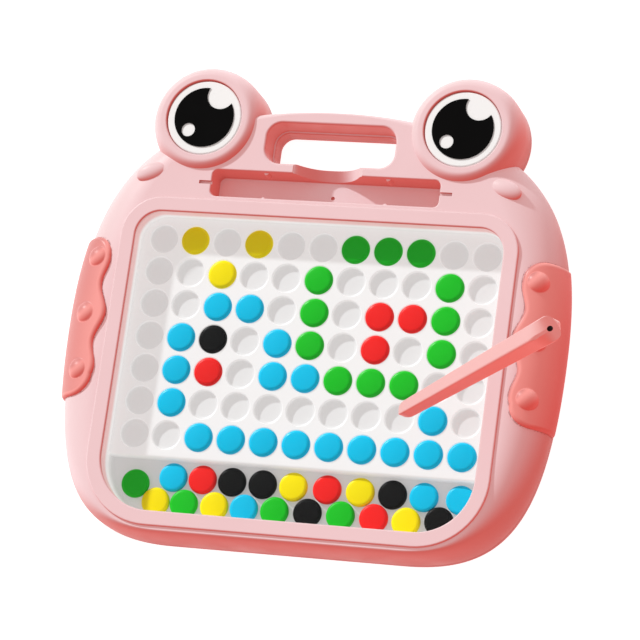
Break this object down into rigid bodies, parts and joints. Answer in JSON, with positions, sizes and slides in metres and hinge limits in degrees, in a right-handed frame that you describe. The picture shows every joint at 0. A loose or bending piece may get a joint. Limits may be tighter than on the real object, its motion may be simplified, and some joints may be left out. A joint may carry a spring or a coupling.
{
  "type": "magnetic bead drawing board",
  "caption": "Child's magnetic drawing board with frog eyes and a carry handle: coloured beads lift from a cup grid to a clear window under a magnet pen.",
  "frame": {"origin": "middle of the flat back face, on the table", "axes": "+Z out of the drawing face, +Y towards the eyes and handle, +X to the right"},
  "size_m": [0.2757, 0.2467, 0.101],
  "materials": {
    "pink_abs": "moulded, satin gloss",
    "coral_abs": "moulded, satin gloss",
    "white_abs": "moulded, satin",
    "clear_acrylic": "polished clear sheet",
    "eye_white": "glossy",
    "eye_black": "glossy film",
    "zinc_steel": "zinc plated",
    "nickel_plate": "nickel plated magnet",
    "bead_blue": "moulded, satin gloss",
    "bead_green": "moulded, satin gloss",
    "bead_red": "moulded, satin gloss",
    "bead_yellow": "moulded, satin gloss",
    "bead_black": "moulded, satin gloss"
  },
  "bodies": {
    "case": {"back_shell": "pink_abs", "bead_tray": "white_abs", "case_screw_1": "zinc_steel", "case_screw_2": "zinc_steel", "case_screw_3": "zinc_steel", "case_screw_4": "zinc_steel", "case_screw_5": "zinc_steel", "case_screw_6": "zinc_steel", "front_shell": "pink_abs", "left_eye_disc": "eye_white", "left_grip": "coral_abs", "left_pupil": "eye_black", "right_eye_disc": "eye_white", "right_grip": "coral_abs", "right_pupil": "eye_black", "window_panel": "clear_acrylic"},
    "bead_r1_c2_yellow": {"bead_r1_c2_yellow": "bead_yellow"},
    "bead_r1_c4_yellow": {"bead_r1_c4_yellow": "bead_yellow"},
    "bead_r1_c7_green": {"bead_r1_c7_green": "bead_green"},
    "bead_r1_c8_green": {"bead_r1_c8_green": "bead_green"},
    "bead_r1_c9_green": {"bead_r1_c9_green": "bead_green"},
    "bead_r2_c10_green": {"bead_r2_c10_green": "bead_green"},
    "bead_r2_c3_yellow": {"bead_r2_c3_yellow": "bead_yellow"},
    "bead_r2_c6_green": {"bead_r2_c6_green": "bead_green"},
    "bead_r3_c10_green": {"bead_r3_c10_green": "bead_green"},
    "bead_r3_c3_blue": {"bead_r3_c3_blue": "bead_blue"},
    "bead_r3_c4_blue": {"bead_r3_c4_blue": "bead_blue"},
    "bead_r3_c6_green": {"bead_r3_c6_green": "bead_green"},
    "bead_r3_c8_red": {"bead_r3_c8_red": "bead_red"},
    "bead_r3_c9_red": {"bead_r3_c9_red": "bead_red"},
    "bead_r4_c10_green": {"bead_r4_c10_green": "bead_green"},
    "bead_r4_c2_blue": {"bead_r4_c2_blue": "bead_blue"},
    "bead_r4_c3_black": {"bead_r4_c3_black": "bead_black"},
    "bead_r4_c5_blue": {"bead_r4_c5_blue": "bead_blue"},
    "bead_r4_c6_green": {"bead_r4_c6_green": "bead_green"},
    "bead_r4_c8_red": {"bead_r4_c8_red": "bead_red"},
    "bead_r5_c2_blue": {"bead_r5_c2_blue": "bead_blue"},
    "bead_r5_c3_red": {"bead_r5_c3_red": "bead_red"},
    "bead_r5_c5_blue": {"bead_r5_c5_blue": "bead_blue"},
    "bead_r5_c6_blue": {"bead_r5_c6_blue": "bead_blue"},
    "bead_r5_c7_green": {"bead_r5_c7_green": "bead_green"},
    "bead_r5_c8_green": {"bead_r5_c8_green": "bead_green"},
    "bead_r5_c9_green": {"bead_r5_c9_green": "bead_green"},
    "bead_r6_c10_blue": {"bead_r6_c10_blue": "bead_blue"},
    "bead_r6_c2_blue": {"bead_r6_c2_blue": "bead_blue"},
    "bead_r7_c10_blue": {"bead_r7_c10_blue": "bead_blue"},
    "bead_r7_c11_blue": {"bead_r7_c11_blue": "bead_blue"},
    "bead_r7_c3_blue": {"bead_r7_c3_blue": "bead_blue"},
    "bead_r7_c4_blue": {"bead_r7_c4_blue": "bead_blue"},
    "bead_r7_c5_blue": {"bead_r7_c5_blue": "bead_blue"},
    "bead_r7_c6_blue": {"bead_r7_c6_blue": "bead_blue"},
    "bead_r7_c7_blue": {"bead_r7_c7_blue": "bead_blue"},
    "bead_r7_c8_blue": {"bead_r7_c8_blue": "bead_blue"},
    "bead_r7_c9_blue": {"bead_r7_c9_blue": "bead_blue"},
    "trough_beads_left": {"trough_beads_left": "bead_blue"},
    "trough_beads_middle": {"trough_beads_middle": "bead_green"},
    "trough_beads_right": {"trough_beads_right": "bead_yellow"},
    "pen": {"pen_body": "coral_abs", "pen_tip": "coral_abs", "pen_magnet": "nickel_plate"}
  },
  "joints": [
    {"name": "lift_bead_r1_c2", "type": "slide", "parent": "case", "child": "bead_r1_c2_yellow", "axis": [0, 0, 1], "range_m": [0, 0.0082]},
    {"name": "lift_bead_r1_c4", "type": "slide", "parent": "case", "child": "bead_r1_c4_yellow", "axis": [0, 0, 1], "range_m": [0, 0.0082]},
    {"name": "lift_bead_r1_c7", "type": "slide", "parent": "case", "child": "bead_r1_c7_green", "axis": [0, 0, 1], "range_m": [0, 0.0082]},
    {"name": "lift_bead_r1_c8", "type": "slide", "parent": "case", "child": "bead_r1_c8_green", "axis": [0, 0, 1], "range_m": [0, 0.0082]},
    {"name": "lift_bead_r1_c9", "type": "slide", "parent": "case", "child": "bead_r1_c9_green", "axis": [0, 0, 1], "range_m": [0, 0.0082]},
    {"name": "lift_bead_r2_c10", "type": "slide", "parent": "case", "child": "bead_r2_c10_green", "axis": [0, 0, 1], "range_m": [0, 0.0082]},
    {"name": "lift_bead_r2_c3", "type": "slide", "parent": "case", "child": "bead_r2_c3_yellow", "axis": [0, 0, 1], "range_m": [0, 0.0082]},
    {"name": "lift_bead_r2_c6", "type": "slide", "parent": "case", "child": "bead_r2_c6_green", "axis": [0, 0, 1], "range_m": [0, 0.0082]},
    {"name": "lift_bead_r3_c10", "type": "slide", "parent": "case", "child": "bead_r3_c10_green", "axis": [0, 0, 1], "range_m": [0, 0.0082]},
    {"name": "lift_bead_r3_c3", "type": "slide", "parent": "case", "child": "bead_r3_c3_blue", "axis": [0, 0, 1], "range_m": [0, 0.0082]},
    {"name": "lift_bead_r3_c4", "type": "slide", "parent": "case", "child": "bead_r3_c4_blue", "axis": [0, 0, 1], "range_m": [0, 0.0082]},
    {"name": "lift_bead_r3_c6", "type": "slide", "parent": "case", "child": "bead_r3_c6_green", "axis": [0, 0, 1], "range_m": [0, 0.0082]},
    {"name": "lift_bead_r3_c8", "type": "slide", "parent": "case", "child": "bead_r3_c8_red", "axis": [0, 0, 1], "range_m": [0, 0.0082]},
    {"name": "lift_bead_r3_c9", "type": "slide", "parent": "case", "child": "bead_r3_c9_red", "axis": [0, 0, 1], "range_m": [0, 0.0082]},
    {"name": "lift_bead_r4_c10", "type": "slide", "parent": "case", "child": "bead_r4_c10_green", "axis": [0, 0, 1], "range_m": [0, 0.0082]},
    {"name": "lift_bead_r4_c2", "type": "slide", "parent": "case", "child": "bead_r4_c2_blue", "axis": [0, 0, 1], "range_m": [0, 0.0082]},
    {"name": "lift_bead_r4_c3", "type": "slide", "parent": "case", "child": "bead_r4_c3_black", "axis": [0, 0, 1], "range_m": [0, 0.0082]},
    {"name": "lift_bead_r4_c5", "type": "slide", "parent": "case", "child": "bead_r4_c5_blue", "axis": [0, 0, 1], "range_m": [0, 0.0082]},
    {"name": "lift_bead_r4_c6", "type": "slide", "parent": "case", "child": "bead_r4_c6_green", "axis": [0, 0, 1], "range_m": [0, 0.0082]},
    {"name": "lift_bead_r4_c8", "type": "slide", "parent": "case", "child": "bead_r4_c8_red", "axis": [0, 0, 1], "range_m": [0, 0.0082]},
    {"name": "lift_bead_r5_c2", "type": "slide", "parent": "case", "child": "bead_r5_c2_blue", "axis": [0, 0, 1], "range_m": [0, 0.0082]},
    {"name": "lift_bead_r5_c3", "type": "slide", "parent": "case", "child": "bead_r5_c3_red", "axis": [0, 0, 1], "range_m": [0, 0.0082]},
    {"name": "lift_bead_r5_c5", "type": "slide", "parent": "case", "child": "bead_r5_c5_blue", "axis": [0, 0, 1], "range_m": [0, 0.0082]},
    {"name": "lift_bead_r5_c6", "type": "slide", "parent": "case", "child": "bead_r5_c6_blue", "axis": [0, 0, 1], "range_m": [0, 0.0082]},
    {"name": "lift_bead_r5_c7", "type": "slide", "parent": "case", "child": "bead_r5_c7_green", "axis": [0, 0, 1], "range_m": [0, 0.0082]},
    {"name": "lift_bead_r5_c8", "type": "slide", "parent": "case", "child": "bead_r5_c8_green", "axis": [0, 0, 1], "range_m": [0, 0.0082]},
    {"name": "lift_bead_r5_c9", "type": "slide", "parent": "case", "child": "bead_r5_c9_green", "axis": [0, 0, 1], "range_m": [0, 0.0082]},
    {"name": "lift_bead_r6_c10", "type": "slide", "parent": "case", "child": "bead_r6_c10_blue", "axis": [0, 0, 1], "range_m": [0, 0.0082]},
    {"name": "lift_bead_r6_c2", "type": "slide", "parent": "case", "child": "bead_r6_c2_blue", "axis": [0, 0, 1], "range_m": [0, 0.0082]},
    {"name": "lift_bead_r7_c10", "type": "slide", "parent": "case", "child": "bead_r7_c10_blue", "axis": [0, 0, 1], "range_m": [0, 0.0082]},
    {"name": "lift_bead_r7_c11", "type": "slide", "parent": "case", "child": "bead_r7_c11_blue", "axis": [0, 0, 1], "range_m": [0, 0.0082]},
    {"name": "lift_bead_r7_c3", "type": "slide", "parent": "case", "child": "bead_r7_c3_blue", "axis": [0, 0, 1], "range_m": [0, 0.0082]},
    {"name": "lift_bead_r7_c4", "type": "slide", "parent": "case", "child": "bead_r7_c4_blue", "axis": [0, 0, 1], "range_m": [0, 0.0082]},
    {"name": "lift_bead_r7_c5", "type": "slide", "parent": "case", "child": "bead_r7_c5_blue", "axis": [0, 0, 1], "range_m": [0, 0.0082]},
    {"name": "lift_bead_r7_c6", "type": "slide", "parent": "case", "child": "bead_r7_c6_blue", "axis": [0, 0, 1], "range_m": [0, 0.0082]},
    {"name": "lift_bead_r7_c7", "type": "slide", "parent": "case", "child": "bead_r7_c7_blue", "axis": [0, 0, 1], "range_m": [0, 0.0082]},
    {"name": "lift_bead_r7_c8", "type": "slide", "parent": "case", "child": "bead_r7_c8_blue", "axis": [0, 0, 1], "range_m": [0, 0.0082]},
    {"name": "lift_bead_r7_c9", "type": "slide", "parent": "case", "child": "bead_r7_c9_blue", "axis": [0, 0, 1], "range_m": [0, 0.0082]},
    {"name": "lift_trough_beads_left", "type": "slide", "parent": "case", "child": "trough_beads_left", "axis": [0, 0, 1], "range_m": [0, 0.0122]},
    {"name": "lift_trough_beads_middle", "type": "slide", "parent": "case", "child": "trough_beads_middle", "axis": [0, 0, 1], "range_m": [0, 0.0122]},
    {"name": "lift_trough_beads_right", "type": "slide", "parent": "case", "child": "trough_beads_right", "axis": [0, 0, 1], "range_m": [0, 0.0122]},
    {"name": "pen_lift", "type": "slide", "parent": "case", "child": "pen", "axis": [0, 0, 1], "range_m": [0, 0.06]}
  ]
}
